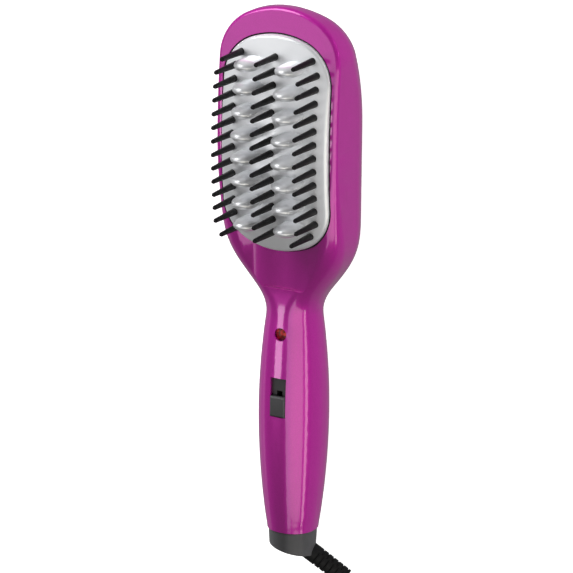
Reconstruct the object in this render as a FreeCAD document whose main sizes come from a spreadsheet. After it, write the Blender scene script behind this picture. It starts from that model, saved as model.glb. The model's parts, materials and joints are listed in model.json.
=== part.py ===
"""Hair straightening brush, lying on its back with the bristles up.

X runs across the brush, Y along it towards the head's tip and Z up. The origin is on the surface
that the brush lies on, under the middle of the bristle field. Lengths are millimetres.
"""
import FreeCAD, Part
import math
import os
import re

import Sketcher
from FreeCAD import Placement, Rotation, Vector

doc = FreeCAD.newDocument("hair_straightening_brush")
sheet = doc.addObject("Spreadsheet::Sheet", "dims")

# Driving dimensions
DIMENSIONS = dict(
    # Housing: a boxy head that narrows to a waist and swells to a round grip
    wall=2.4,
    head_half_width=33.8,
    head_tip=67.6,
    head_end_radius=45.3,
    head_corner_radius=24.6,
    tip_rise_start=8.0,
    tip_rise_radius=95.0,
    taper_start=-38.0,
    taper_end=-89.5,
    taper_lag=1.6,
    front_rise=21.6,
    front_bow_radius=400.0,
    rim_round=2.5,
    back_round=16.0,
    neck_place=-92.0,
    neck_radius=14.0,
    scoop_radius=60.0,
    scoop_start=-55.0,
    scoop_start_depth=4.0,
    scoop_end=-79.8,
    scoop_end_depth=1.9,
    grip_place=-143.0,
    grip_radius=17.5,
    grip_flat=1.0,
    handle_end=-205.8,
    end_radius=12.7,
    end_wall=3.0,
    # Heating plate and what lies under it
    plate_half_width=29.7,
    plate_half_length=54.6,
    plate_end_radius=42.5,
    plate_corner_radius=22.7,
    plate_rise=26.4,
    crown_radius=142.0,
    bow_radius=250.0,
    plate_thickness=3.0,
    plate_edge_round=1.8,
    skirt_wall=1.5,
    skirt_bottom=13.0,
    opening_gap=0.8,
    seal_gap=0.1,
    seal_sink=0.4,
    dome_pitch=11.5,
    dome_rows=8,
    dome_column=11.3,
    dome_half_length=6.5,
    dome_half_width=3.2,
    dome_side=7.0,
    dome_height=14.0,
    bristle_pitch=6.8,
    bristle_rows=14,
    bristle_column=22.6,
    bristle_inset=2.9,
    bristle_length=19.95,
    bristle_base_radius=1.7,
    bristle_tip_radius=1.15,
    bristle_foot_radius=2.4,
    bristle_foot=1.0,
    bristle_foot_drop=0.75,
    hole_gap=0.15,
    strip_half_width=2.8,
    strip_thickness=0.8,
    strip_drop=0.7,
    heater_half_width=4.6,
    heater_half_length=40.0,
    heater_thickness=3.0,
    layer_gap=0.2,
    clamp_half_width=16.8,
    clamp_half_length=35.0,
    clamp_thickness=1.0,
    carrier_height=4.7,
    carrier_gap=0.3,
    carrier_inset=0.2,
    carrier_bar=4.5,
    carrier_end=13.0,
    boss_place=48.0,
    boss_radius=3.0,
    carrier_post_radius=3.0,
    carrier_post_place=30.0,
    shield_thickness=0.5,
    shield_inset=1.0,
    shield_cut=-35.0,
    thermostat_place=18.0,
    thermostat_radius=5.5,
    thermostat_height=4.5,
    fuse_place=-16.0,
    fuse_column=8.0,
    fuse_radius=2.0,
    fuse_length=11.0,
    # Screws
    screw_radius=1.2,
    screw_gap=0.05,
    screw_head_radius=2.2,
    screw_head=2.0,
    post_radius=3.0,
    rear_post_radius=3.4,
    post_bore_gap=0.3,
    grip_screw_gap=10.0,
    screw_seat=8.0,
    screw_length=17.0,
    carrier_screw_length=8.0,
    # Pilot lamp and board
    lamp_place=-99.7,
    lens_radius=3.2,
    lens_gap=0.15,
    lens_flange=1.2,
    lens_flange_radius=4.4,
    lens_barrel=1.7,
    lens_crown=0.8,
    lens_sink=0.3,
    lamp_radius=2.4,
    board_half_width=7.0,
    board_start=-109.0,
    board_end=-87.0,
    board_height=2.0,
    board_thickness=1.5,
    board_post_radius=2.0,
    board_post_inset=3.0,
    # Slide switch
    slot_half_width=4.4,
    slot_low=-142.5,
    slot_high=-122.1,
    slide_gap=0.3,
    knob_length=10.4,
    knob_proud=0.7,
    knob_height=3.0,
    knob_round=0.8,
    stem_half_width=1.3,
    stem_length=3.0,
    tray_half_width=7.0,
    tray_overlap=5.0,
    tray_flange=1.2,
    tray_floor=2.5,
    tray_seat=4.5,
    tray_leg=2.0,
    switch_half_width=5.0,
    switch_height=8.5,
    slider_half_width=3.0,
    slider_height=1.8,
    slider_length=8.0,
    switch_drop=10.0,
    # Cord clamp
    cord_clamp_place=-181.0,
    cord_clamp_half_width=9.4,
    cord_clamp_length=6.0,
    cord_clamp_height=3.0,
    cord_clamp_rise=1.4,
    cord_clamp_screw=6.6,
    cord_clamp_post_radius=2.4,
    cord_clamp_screw_length=8.0,
    # Cord swivel and strain relief
    swivel_place=-212.3,
    swivel_turn=72.0,
    swivel_angle=54.6,
    swivel_gap=0.3,
    cap_radius=12.4,
    cap_low_radius=11.7,
    cap_short=-214.4,
    cap_long=-219.8,
    spigot_radius=6.45,
    spigot_bore=3.6,
    spigot_end=-198.8,
    running_gap=0.05,
    bush_wall=1.5,
    bush_flange=1.2,
    bush_flange_radius=9.6,
    ring_depth=0.9,
    ring_thickness=1.0,
    ring_radius=9.0,
    boot_start=3.0,
    boot_length=34.0,
    boot_radius=4.9,
    boot_end_radius=4.6,
    slot_first=15.5,
    slot_pitch=3.1,
    slot_width=0.8,
    slot_depth=1.7,
    slot_count=6,
    # Mains cord, put away in a coil
    cord_radius=3.0,
    coil_centre_x=13.0,
    coil_centre_y=-294.0,
    coil_radius=37.5,
    coil_turns=3.28,
    coil_gap=0.6,
    coil_dip=1.4,
    coil_start=17.0,
    tie_thickness=0.6,
    tie_width=9.0,
    tie_gap=0.35,
    tie_place=-45.0,
    wire_radius=0.9,
    # Plug
    plug_length=24.0,
    plug_half_width=11.0,
    plug_half_height=7.5,
    plug_round=3.0,
    plug_neck_length=14.0,
    plug_neck_radius=5.0,
    plug_neck_end_radius=3.8,
    blade_spacing=12.7,
    blade_width=6.3,
    blade_thickness=1.5,
    blade_length=16.0,
    blade_root=4.0,
    blade_hole_radius=1.6,
    blade_hole_place=11.0,
)
NODES = []
ROWS = []


def write_row(alias, number):
    """Adds a named size to the sheet."""
    ROWS.append(alias)
    sheet.set("A%d" % len(ROWS), alias)
    sheet.set("B%d" % len(ROWS), str(number))
    sheet.setAlias("B%d" % len(ROWS), alias)


def derive(alias, number):
    """Adds a size that follows from the others, for the sketches that need it."""
    write_row(alias, number)
    doc.recompute()
    return number


for name, number in DIMENSIONS.items():
    write_row(name, number)
doc.recompute()


def size(alias):
    """A driving dimension, read from the sheet."""
    return float(getattr(sheet, alias))


def bound(text):
    """An expression on the sheet's aliases, in the form that setExpression takes."""
    return re.sub(r"[a-z][a-z_]*", lambda word: "dims." + word.group(0), text)


def bind(thing, **expressions):
    """Binds properties of an object, such as Length or Placement.Base.y written Placement_Base_y."""
    for name, text in expressions.items():
        thing.setExpression(name.replace("_", "."), bound(text))


def node(thing, label):
    """Marks an object as a sub-part that is written under its label."""
    thing.Label = label
    NODES.append(thing)
    return thing


def solid_node(label, shape, placement=None):
    """A sub-part whose shape is worked out in code from the sheet's sizes."""
    thing = doc.addObject("Part::Feature", label)
    thing.Shape = shape
    if placement is not None:
        thing.Placement = placement
    return node(thing, label)


# Sketched bodies
def new_body(label):
    return doc.addObject("PartDesign::Body", label)


def new_sketch(body, name, role="XY_Plane", offset=None):
    """A sketch on one of the body's own origin planes, moved along the plane's normal."""
    sketch = body.newObject("Sketcher::SketchObject", name)
    plane = [feature for feature in body.Origin.OriginFeatures if feature.Role == role][0]
    sketch.AttachmentSupport = (plane, [""])
    sketch.MapMode = "FlatFace"
    if offset is not None:
        sketch.setExpression("AttachmentOffset.Base.z", bound(offset))
    return sketch


def fix_point(sketch, geometry, point, x, y):
    """Holds a sketch point at two expressions."""
    for kind, axis, text in (("DistanceX", -2, x), ("DistanceY", -1, y)):
        value = float(sheet.evalExpression(text))
        if value == 0.0:
            sketch.addConstraint(Sketcher.Constraint("PointOnObject", geometry, point, axis))
            continue
        index = sketch.addConstraint(Sketcher.Constraint(kind, -1, 1, geometry, point, value))
        sketch.setExpression("Constraints[%d]" % index, bound(text))


def polygon(sketch, corners):
    """A closed outline of straight sides through corners given as pairs of expressions."""
    places = [Vector(*(float(sheet.evalExpression(text)) for text in corner), 0) for corner in corners]
    first = sketch.GeometryCount
    count = len(corners)
    for i in range(count):
        sketch.addGeometry(Part.LineSegment(places[i], places[(i + 1) % count]))
    for i in range(count):
        sketch.addConstraint(Sketcher.Constraint("Coincident", first + i, 2, first + (i + 1) % count, 1))
    for i, (x, y) in enumerate(corners):
        fix_point(sketch, first + i, 1, x, y)


def rectangle(sketch, left, right, low, high):
    polygon(sketch, [(left, low), (right, low), (right, high), (left, high)])


def circle(sketch, x, y, radius):
    places = [float(sheet.evalExpression(text)) for text in (x, y, radius)]
    index = sketch.addGeometry(Part.Circle(Vector(places[0], places[1], 0), Vector(0, 0, 1), places[2]))
    fix_point(sketch, index, 3, x, y)
    constraint = sketch.addConstraint(Sketcher.Constraint("Radius", index, places[2]))
    sketch.setExpression("Constraints[%d]" % constraint, bound(radius))


def pad(body, sketch, length, name="Pad"):
    feature = body.newObject("PartDesign::Pad", name)
    feature.Profile = sketch
    bind(feature, Length=length)
    return feature


def pocket(body, sketch, length, name="Pocket", upwards=False):
    """Cuts a sketch's outline into the body, and makes sure that something was cut."""
    doc.recompute()
    before = body.Shape.Volume
    feature = body.newObject("PartDesign::Pocket", name)
    feature.Profile = sketch
    feature.Reversed = upwards
    bind(feature, Length=length)
    doc.recompute()
    if not body.Shape.Volume < before:
        raise RuntimeError("%s of %s cuts nothing" % (name, body.Name))
    return feature


def round_edges(body, radius, chosen, name="Fillet"):
    """Rounds the edges of the body's last feature that the chosen function picks."""
    doc.recompute()
    base = body.Tip
    names = ["Edge%d" % (i + 1) for i, edge in enumerate(base.Shape.Edges) if chosen(edge)]
    feature = body.newObject("PartDesign::Fillet", name)
    feature.Base = (base, names)
    bind(feature, Radius=radius)
    return feature


def turned_body(label, corners):
    """A body turned about its own Z axis from an outline of (radius, height) expressions."""
    body = new_body(label)
    sketch = new_sketch(body, label + "_profile", "XZ_Plane")
    polygon(sketch, corners)
    feature = body.newObject("PartDesign::Revolution", label + "_turn")
    feature.Profile = sketch
    feature.ReferenceAxis = (sketch, ["V_Axis"])
    feature.Angle = 360
    doc.recompute()
    return body


def box_between(low, high):
    return Part.makeBox(*(high - low), low)


def cylinder(radius, start, end):
    line = end - start
    return Part.makeCylinder(radius, line.Length, start, line)


def copies(shape, places):
    """One compound of a shape moved to each of the places."""
    return Part.makeCompound([shape.translated(place) for place in places])


AXIS = size("grip_radius")
CROWN = 0.0  # where the head's front is highest and level, so that block and loft meet there without a step
LOOSE = 60.0  # how far cutting blocks reach past the brush


# Outer form of the housing
def end_arcs(half_width, end, end_radius, corner_radius, side):
    """Corner, end and corner arcs of an outline's rounded end, from its right side to its left.

    side is 1 for an end towards +Y and -1 for the other. Also returns where the straight sides stop.
    """
    end_centre = Vector(0, end - end_radius, 0)
    reach = end_radius - corner_radius
    corner = Vector(half_width - corner_radius, 0, 0)
    corner.y = end_centre.y + math.sqrt(reach ** 2 - corner.x ** 2)
    lean = math.atan2(corner.y - end_centre.y, corner.x)

    def on_corner(angle):
        return corner + Vector(math.cos(angle), math.sin(angle), 0) * corner_radius

    right = [on_corner(0), on_corner(lean / 2), on_corner(lean)]
    mirrored = [Vector(-point.x, point.y, 0) for point in reversed(right)]
    tip = Vector(0, end, 0)
    runs = [right, [right[2], tip, mirrored[0]], mirrored]
    flipped = [[Vector(p.x, side * p.y, 0) for p in run] for run in runs]
    return [Part.Arc(*run).toShape() for run in flipped], side * corner.y


def head_outline(inset=0.0):
    """The head's outline from its joint with the tapering part to the tip, as a face."""
    half = size("head_half_width") - inset
    low = CROWN
    arcs, straight = end_arcs(half, size("head_tip") - inset, size("head_end_radius") - inset,
                              size("head_corner_radius") - inset, 1)
    corners = [Vector(-half, straight, 0), Vector(-half, low, 0), Vector(half, low, 0), Vector(half, straight, 0)]
    lines = [Part.makeLine(a, b) for a, b in zip(corners, corners[1:])]
    return Part.Face(Part.Wire(Part.__sortEdges__(lines + arcs)))


def plate_outline(offset):
    """The plate's outline, widened by an offset, as a face."""
    ends = [
        end_arcs(size("plate_half_width") + offset, size("plate_half_length") + offset,
                 size("plate_end_radius") + offset, size("plate_corner_radius") + offset, side)
        for side in (1, -1)
    ]
    half = size("plate_half_width") + offset
    straight = ends[0][1]
    sides = [Part.makeLine(Vector(x, -straight, 0), Vector(x, straight, 0)) for x in (half, -half)]
    return Part.Face(Part.Wire(Part.__sortEdges__(sides + ends[0][0] + ends[1][0])))


def prism(face, low, high):
    """A face on the XY plane, raised from one height to another."""
    return face.translated(Vector(0, 0, low)).extrude(Vector(0, 0, high - low))


def share(place, start, end, lag=1.0):
    """Smooth share of the way from start to end, 0 before and 1 after; a lag over 1 sets out slowly."""
    part = min(max((place - start) / (end - start), 0.0), 1.0)
    return (1 - math.cos(math.pi * part ** lag)) / 2


def waist_at(place):
    """How far the head has narrowed to the neck, from 0 to 1."""
    return share(place, size("taper_start"), size("taper_end"), size("taper_lag"))


def grip_radius_at(place):
    """The round grip's radius, swelling from the neck and narrowing to the handle's end."""
    middle = size("grip_place")
    far, small = ("neck_place", "neck_radius") if place > middle else ("handle_end", "end_radius")
    part = (place - middle) / (size(far) - middle)
    return size("grip_radius") - (size("grip_radius") - size(small)) * part ** 2


def front_at(place):
    """Height of the housing's front above the surface that the brush lies on."""
    if place <= size("neck_place"):
        return AXIS + grip_radius_at(place)
    bow = size("front_bow_radius")
    bowed = AXIS + size("front_rise") - bow + math.sqrt(bow ** 2 - (place - CROWN) ** 2)
    return bowed + (AXIS + size("neck_radius") - bowed) * waist_at(place)


def section(place, inset):
    """A rounded rectangle across the housing: flat front, round back, nearly a circle on the grip."""
    waist = waist_at(place)
    radius = size("neck_radius") if place > size("neck_place") else grip_radius_at(place)
    half = size("head_half_width") + (radius - size("head_half_width")) * waist - inset
    high = front_at(place) - inset
    low = (AXIS - radius) * waist + inset
    round_radius = radius - size("grip_flat")
    rim_share = share(place, CROWN, size("neck_place"))
    front = size("rim_round") + (round_radius - size("rim_round")) * rim_share
    back = size("back_round") + (round_radius - size("back_round")) * waist
    front = max(front - inset, size("rim_round") / 2)
    back = back - inset
    slant = math.sqrt(0.5)

    def corner(side_x, side_z, radius, edge):
        centre = Vector(side_x * (half - radius), place, edge - side_z * radius)
        ends = [centre + Vector(side_x * radius, 0, 0), centre + Vector(0, 0, side_z * radius)]
        middle = centre + Vector(side_x * slant, 0, side_z * slant) * radius
        return ends[0], middle, ends[1]

    right_top = corner(1, 1, front, high)
    left_top = corner(-1, 1, front, high)
    left_low = corner(-1, -1, back, low)
    right_low = corner(1, -1, back, low)
    runs = [right_top, tuple(reversed(left_top)), left_low, tuple(reversed(right_low))]
    edges = []
    for run, following in zip(runs, runs[1:] + runs[:1]):
        edges.append(Part.Arc(*run).toShape())
        edges.append(Part.makeLine(run[2], following[0]))
    return Part.Wire(edges)


def head_block(inset):
    """The head's tip end: a rounded block with a bowed front."""
    bow = size("front_bow_radius")
    top = AXIS + size("front_rise") - inset
    block = prism(head_outline(inset), 0, top)
    bow_axis = Vector(-LOOSE, CROWN, top - bow)
    block = block.common(Part.makeCylinder(bow, 2 * LOOSE, bow_axis, Vector(1, 0, 0)))
    block = block.common(above_back(inset))

    def rims(shape, front):
        found = []
        for edge in shape.Edges:
            middle = edge.valueAt((edge.FirstParameter + edge.LastParameter) / 2)
            along = edge.tangentAt((edge.FirstParameter + edge.LastParameter) / 2)
            across = edge.BoundBox.YLength < 0.01 and abs(along.x) > 0.99
            if across or abs(edge.tangentAt(edge.FirstParameter).z) > 0.99:
                continue
            at_back = abs(middle.z - back_at(middle.y, inset)) < 0.05
            at_front = abs(middle.z - top - math.sqrt(bow ** 2 - (middle.y - CROWN) ** 2) + bow) < 0.05
            if at_front if front else at_back:
                found.append(edge)
        return found

    block = block.makeFillet(size("back_round") - inset, rims(block, False))
    return block.makeFillet(max(size("rim_round") - inset, size("rim_round") / 2), rims(block, True))


def back_at(place, inset):
    """Height of the head's back: flat, then rising in an arc to the tip."""
    radius = size("tip_rise_radius")
    past = max(place - size("tip_rise_start"), 0.0)
    return radius - math.sqrt((radius - inset) ** 2 - past ** 2)


def above_back(inset):
    """Everything above the head's back, from the joint to past the tip."""
    joint = CROWN
    start = size("tip_rise_start")
    tip = size("head_tip")
    high = AXIS + LOOSE
    arc = [Vector(0, y, back_at(y, inset)) for y in (start, (start + tip) / 2, tip)]
    corners = [arc[2], Vector(0, tip, high), Vector(0, joint, high), Vector(0, joint, inset), arc[0]]
    lines = [Part.makeLine(a, b) for a, b in zip(corners, corners[1:])]
    face = Part.Face(Part.Wire([Part.Arc(*arc).toShape()] + lines))
    return face.translated(Vector(-LOOSE, 0, 0)).extrude(Vector(2 * LOOSE, 0, 0))


SCOOP_PAST = 8.0  # how far the trough runs on into the plate's opening
SECTIONS = 30
LEAD_SECTIONS = 3  # more before the joint, so that the loft leaves the block without a wave


def housing_form(inset):
    """The housing's whole form, head, neck and grip, drawn in by an inset."""
    start = CROWN
    end = size("handle_end") + (size("end_wall") if inset else 0.0)
    places = [start + (end - start) * i / SECTIONS for i in range(-LEAD_SECTIONS, SECTIONS + 1)]
    taper = Part.makeLoft([section(place, inset) for place in places], True, False, False, 3)
    taper = taper.common(box_between(Vector(-LOOSE, end - 1, -LOOSE), Vector(LOOSE, start, LOOSE + AXIS)))
    return head_block(inset).fuse(taper).cut(scoop(inset))


def scoop(inset):
    """A wide shallow trough under the plate's lower end. It slopes down to the neck and stops at a low step."""
    start = size("scoop_start")
    end = size("scoop_end")
    radius = size("scoop_radius")
    high = Vector(0, start, front_at(start) - size("scoop_start_depth") + radius)
    low = Vector(0, end, front_at(end) - size("scoop_end_depth") + radius)
    way = (high - low).normalize()
    length = (high - low).Length + SCOOP_PAST
    return Part.makeCylinder(radius + inset, length + inset, low - way * inset, way)


def half_space(above):
    """A block that holds everything above or below the plane where the two shells part."""
    corner = Vector(-LOOSE, size("cap_long") - LOOSE, AXIS if above else AXIS - LOOSE)
    return Part.makeBox(2 * LOOSE, size("head_tip") - size("cap_long") + 2 * LOOSE, LOOSE, corner)


# Places that several pieces share
def bristle_places():
    """Where each bristle stands: rows of three columns, the outer columns' ends drawn in."""
    rows = int(size("bristle_rows"))
    places = []
    for column in (-1, 0, 1):
        for row in range(rows):
            drawn_in = size("bristle_inset") if row in (0, rows - 1) else 0.0
            x = column * (size("bristle_column") - drawn_in)
            places.append((x, ((rows - 1) / 2 - row) * size("bristle_pitch")))
    return places


def plate_top(x, y):
    """Height of the plate's crowned surface."""
    crown = size("crown_radius")
    bow = size("bow_radius")
    drop = crown - math.sqrt(crown ** 2 - x ** 2)
    return AXIS + size("plate_rise") - bow + math.sqrt((bow - drop) ** 2 - y ** 2)


def lens_low():
    """Height of the lens's inner end."""
    height = size("lens_flange") + size("lens_barrel") + size("lens_crown")
    return front_at(size("lamp_place")) - size("lens_sink") - height


TRAY_LOW = size("slot_low") - size("tray_overlap")
TRAY_HIGH = size("slot_high") + size("tray_overlap")
# Housing screws are on the brush's middle line, in the room that the other pieces leave
HOUSING_SCREWS = [
    (size("scoop_start") + size("scoop_end")) / 2,
    (size("board_start") + TRAY_HIGH) / 2,
    TRAY_LOW - size("grip_screw_gap"),
]
CARRIER_POSTS = [
    Vector(x * (size("plate_half_width") - size("carrier_post_radius") - size("carrier_inset")),
           y * size("carrier_post_place"), 0)
    for x in (-1, 1) for y in (-1, 1)
]
CLAMP_POSTS = [Vector(x * size("cord_clamp_screw"), size("cord_clamp_place"), 0) for x in (-1, 1)]
PLATE_BOSSES = [Vector(x * size("dome_column"), y * size("boss_place"), 0) for x in (-1, 1) for y in (-1, 1)]
SKIRT = AXIS + size("skirt_bottom")
CARRIER_TOP = SKIRT - size("carrier_gap")
CARRIER_LOW = CARRIER_TOP - size("carrier_height")
SHIELD_TOP = CARRIER_LOW - size("carrier_gap")
SHIELD_LOW = SHIELD_TOP - size("shield_thickness")
BOARD_LOW = AXIS + size("board_height")


# Front and rear shells
def front_shell(outer, inner):
    upper = half_space(True)
    shell = outer.cut(inner).common(upper)
    posts = [cylinder(size("post_radius"), Vector(0, y, AXIS), Vector(0, y, AXIS + LOOSE)) for y in HOUSING_SCREWS]
    shell = shell.fuse([post.common(outer) for post in posts])
    pilot = size("screw_radius") + size("screw_gap")
    depth = size("screw_seat") + size("screw_length") + 1.0
    shell = shell.cut([cylinder(pilot, Vector(0, y, 0), Vector(0, y, depth)) for y in HOUSING_SCREWS])
    opening = prism(plate_outline(size("opening_gap")), SHIELD_TOP, AXIS + LOOSE)
    lamp = Vector(0, size("lamp_place"), AXIS)
    lamp_hole = cylinder(size("lens_radius") + size("lens_gap"), lamp, lamp + Vector(0, 0, LOOSE))
    seat = Vector(0, size("lamp_place"), lens_low() + size("lens_flange") + size("lens_gap"))
    lens_seat = cylinder(size("lens_flange_radius") + size("lens_gap"), lamp, seat)
    half = size("slot_half_width")
    slot = box_between(Vector(-half, size("slot_low"), AXIS), Vector(half, size("slot_high"), AXIS + LOOSE))
    return shell.cut([opening, lamp_hole, lens_seat, slot])


def rear_shell(outer, inner):
    lower = half_space(False)
    shell = outer.cut(inner).common(lower)
    posts = [cylinder(size("rear_post_radius"), Vector(0, y, 0), Vector(0, y, AXIS)) for y in HOUSING_SCREWS]
    for place in CARRIER_POSTS:
        posts.append(cylinder(size("carrier_post_radius"), place, place + Vector(0, 0, AXIS)))
    for place in CLAMP_POSTS:
        posts.append(cylinder(size("cord_clamp_post_radius"), place, place + Vector(0, 0, AXIS)))
    for y in (size("board_start") + size("board_post_inset"), size("board_end") - size("board_post_inset")):
        posts.append(cylinder(size("board_post_radius"), Vector(0, y, 0), Vector(0, y, AXIS)))
    posts = [post.common(outer) for post in posts]
    tall = [(CARRIER_POSTS, "carrier_post_radius", SHIELD_LOW - size("layer_gap")),
            (CLAMP_POSTS, "cord_clamp_post_radius", AXIS + size("cord_clamp_rise"))]
    for places, radius, top in tall:
        for place in places:
            foot = place + Vector(0, 0, AXIS)
            posts.append(cylinder(size(radius), foot, Vector(place.x, place.y, top)))
    for y in (size("board_start") + size("board_post_inset"), size("board_end") - size("board_post_inset")):
        posts.append(cylinder(size("board_post_radius"), Vector(0, y, AXIS), Vector(0, y, BOARD_LOW)))
    shell = shell.fuse(posts)
    seat = size("screw_seat")
    cuts = []
    for y in HOUSING_SCREWS:
        cuts.append(cylinder(size("screw_head_radius") + size("post_bore_gap"), Vector(0, y, -1), Vector(0, y, seat)))
        cuts.append(cylinder(size("screw_radius") + size("screw_gap"), Vector(0, y, 0), Vector(0, y, AXIS + 1)))
    pilot = size("screw_radius") + size("screw_gap")
    for place in CLAMP_POSTS:
        top = Vector(place.x, place.y, AXIS + size("cord_clamp_rise"))
        cuts.append(cylinder(pilot, top - Vector(0, 0, size("cord_clamp_screw_length")), top + Vector(0, 0, 1)))
    return shell.cut(cuts)


outer_form = housing_form(0.0)
inner_form = housing_form(size("wall"))
end_hole_radius = size("spigot_radius") + size("running_gap") + size("bush_wall") + size("running_gap")
end_hole = cylinder(end_hole_radius, Vector(0, size("handle_end") - 1, AXIS),
                    Vector(0, size("handle_end") + size("end_wall") + 1, AXIS))
solid_node("front_housing", front_shell(outer_form, inner_form).cut(end_hole))
solid_node("rear_housing", rear_shell(outer_form, inner_form).cut(end_hole))


# Heating plate and the layers under it
def under_crown(drop):
    """Everything under the plate's crowned surface lowered by a drop."""
    apex = AXIS + size("plate_rise") - drop
    crown = size("crown_radius")
    half = size("plate_half_width") + 5.0
    edge = apex - crown + math.sqrt(crown ** 2 - half ** 2)
    low = AXIS - 10.0
    left = Vector(-half, 0, edge)
    right = Vector(half, 0, edge)
    sides = [Part.makeLine(right, Vector(half, 0, low)), Part.makeLine(Vector(half, 0, low), Vector(-half, 0, low)),
             Part.makeLine(Vector(-half, 0, low), left)]
    face = Part.Face(Part.Wire([Part.Arc(left, Vector(0, 0, apex), right).toShape()] + sides))
    swing = 20.0
    axis = Vector(0, 0, apex - size("bow_radius"))
    return face.rotated(axis, Vector(1, 0, 0), -swing).revolve(axis, Vector(1, 0, 0), 2 * swing)


def crowned_layer(outline, top_drop, low_drop):
    """A sheet of constant thickness that follows the plate's crown, cut to an outline."""
    block = prism(outline, AXIS, AXIS + LOOSE)
    return block.common(under_crown(top_drop)).cut(under_crown(low_drop))


def rectangle_face(left, right, low, high):
    corners = [Vector(left, low, 0), Vector(right, low, 0), Vector(right, high, 0), Vector(left, high, 0)]
    return Part.Face(Part.makePolygon(corners + corners[:1]))


def heating_plate():
    block = prism(plate_outline(0.0), SKIRT, AXIS + LOOSE).common(under_crown(0.0))
    rim = [edge for edge in block.Edges if edge.BoundBox.ZMin > SKIRT + 1 and edge.BoundBox.ZMax < plate_top(0, 0)]
    rim = [edge for edge in rim if abs(edge.tangentAt(edge.FirstParameter).z) < 0.9]
    block = block.makeFillet(size("plate_edge_round"), rim)
    hollow = prism(plate_outline(-size("skirt_wall")), AXIS, AXIS + LOOSE)
    block = block.cut(hollow.common(under_crown(size("plate_thickness"))))
    bosses = [cylinder(size("boss_radius"), Vector(p.x, p.y, SKIRT), Vector(p.x, p.y, plate_top(p.x, p.y) - 1))
              for p in PLATE_BOSSES]
    rows = int(size("dome_rows"))
    domes = []
    for x in (-size("dome_column"), size("dome_column")):
        for row in range(rows):
            y = ((rows - 1) / 2 - row) * size("dome_pitch")
            domes.append(dome(x, y))
    block = block.fuse(bosses + domes)
    holes = []
    for x, y in bristle_places():
        radius = size("bristle_base_radius") + size("hole_gap")
        holes.append(cylinder(radius, Vector(x, y, AXIS), Vector(x, y, AXIS + LOOSE)))
    pilot = size("screw_radius") + size("screw_gap")
    depth = size("carrier_screw_length") - size("carrier_height") + 1.0
    for place in PLATE_BOSSES:
        foot = Vector(place.x, place.y, SKIRT - 1)
        holes.append(cylinder(pilot, foot, foot + Vector(0, 0, depth + 1)))
    return block.cut(holes)


def dome(x, y):
    """One raised dome of the plate: an oval post, longest across the brush, with a round top."""
    shoulder = plate_top(x, y) + size("dome_side")
    foot = plate_top(x, y) - size("plate_thickness") / 2
    oval = Part.Ellipse(Vector(x, y, foot), size("dome_half_length"), size("dome_half_width"))
    post = Part.Face(Part.Wire([oval.toShape()])).extrude(Vector(0, 0, shoulder - foot))
    stretch = FreeCAD.Matrix()
    stretch.scale(size("dome_half_length"), size("dome_half_width"), size("dome_height") - size("dome_side"))
    half_ball = Part.makeSphere(1.0, Vector(0, 0, 0), Vector(0, 0, 1), 0, 90, 360)
    return post.fuse(half_ball.transformGeometry(stretch).translated(Vector(x, y, shoulder)))


solid_node("heating_plate", heating_plate())


def bristle_master():
    """One bristle standing on the plate's surface at height 0: foot, straight root, taper, round tip."""
    return turned_body("bristle_master", [
        ("0", "0 - plate_thickness - bristle_foot_drop - bristle_foot"),
        ("bristle_foot_radius", "0 - plate_thickness - bristle_foot_drop - bristle_foot"),
        ("bristle_foot_radius", "0 - plate_thickness - bristle_foot_drop"),
        ("bristle_base_radius", "0 - plate_thickness - bristle_foot_drop"),
        ("bristle_base_radius", "bristle_base_radius"),
        ("bristle_tip_radius", "bristle_length - bristle_tip_radius"),
        ("bristle_tip_radius * 0.7", "bristle_length - bristle_tip_radius * 0.3"),
        ("0", "bristle_length"),
    ])


bristle = bristle_master()
bristle_spots = [Vector(x, y, plate_top(x, y)) for x, y in bristle_places()]
solid_node("bristles", copies(bristle.Shape, bristle_spots))

foot_end = size("plate_thickness") + size("bristle_foot_drop") + size("bristle_foot")
strip_top = foot_end + size("strip_drop")
strip_reach = size("bristle_pitch") * (size("bristle_rows") - 1) / 2 + size("strip_half_width")
half_strip = size("strip_half_width")
outer_column = size("bristle_column")
strip_spans = [(-outer_column - half_strip, size("bristle_inset") - outer_column + half_strip),
               (-half_strip, half_strip),
               (outer_column - size("bristle_inset") - half_strip, outer_column + half_strip)]
inside_skirt = plate_outline(-size("skirt_wall") - size("carrier_gap"))
strips = []
for left, right in strip_spans:
    face = rectangle_face(left, right, -strip_reach, strip_reach).common(inside_skirt)
    strips.append(crowned_layer(face, strip_top, strip_top + size("strip_thickness")))
solid_node("bristle_strips", Part.makeCompound(strips))

heater_top = size("plate_thickness") + size("layer_gap")
heater_low = heater_top + size("heater_thickness")
heaters = []
for side in (-1, 1):
    middle = side * size("dome_column")
    reach = size("heater_half_length")
    face = rectangle_face(middle - size("heater_half_width"), middle + size("heater_half_width"), -reach, reach)
    heaters.append(crowned_layer(face, heater_top, heater_low))
solid_node("heater_bars", Part.makeCompound(heaters))

clamp_top = max(heater_low, strip_top + size("strip_thickness")) + size("layer_gap")
clamp_low = clamp_top + size("clamp_thickness")
clamp_face = rectangle_face(-size("clamp_half_width"), size("clamp_half_width"),
                            -size("clamp_half_length"), size("clamp_half_length"))
solid_node("heater_clamp", crowned_layer(clamp_face, clamp_top, clamp_low))

seal_outer = size("opening_gap") - size("seal_gap")
seal_ring = plate_outline(seal_outer).cut(plate_outline(size("seal_gap")))
seal = prism(seal_ring, SKIRT, AXIS + LOOSE)
front_bow = Part.makeCylinder(
    size("front_bow_radius"), 2 * LOOSE,
    Vector(-LOOSE, 0, AXIS + size("front_rise") - size("seal_sink") - size("front_bow_radius")), Vector(1, 0, 0))
solid_node("plate_seal", seal.common(front_bow))


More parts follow.
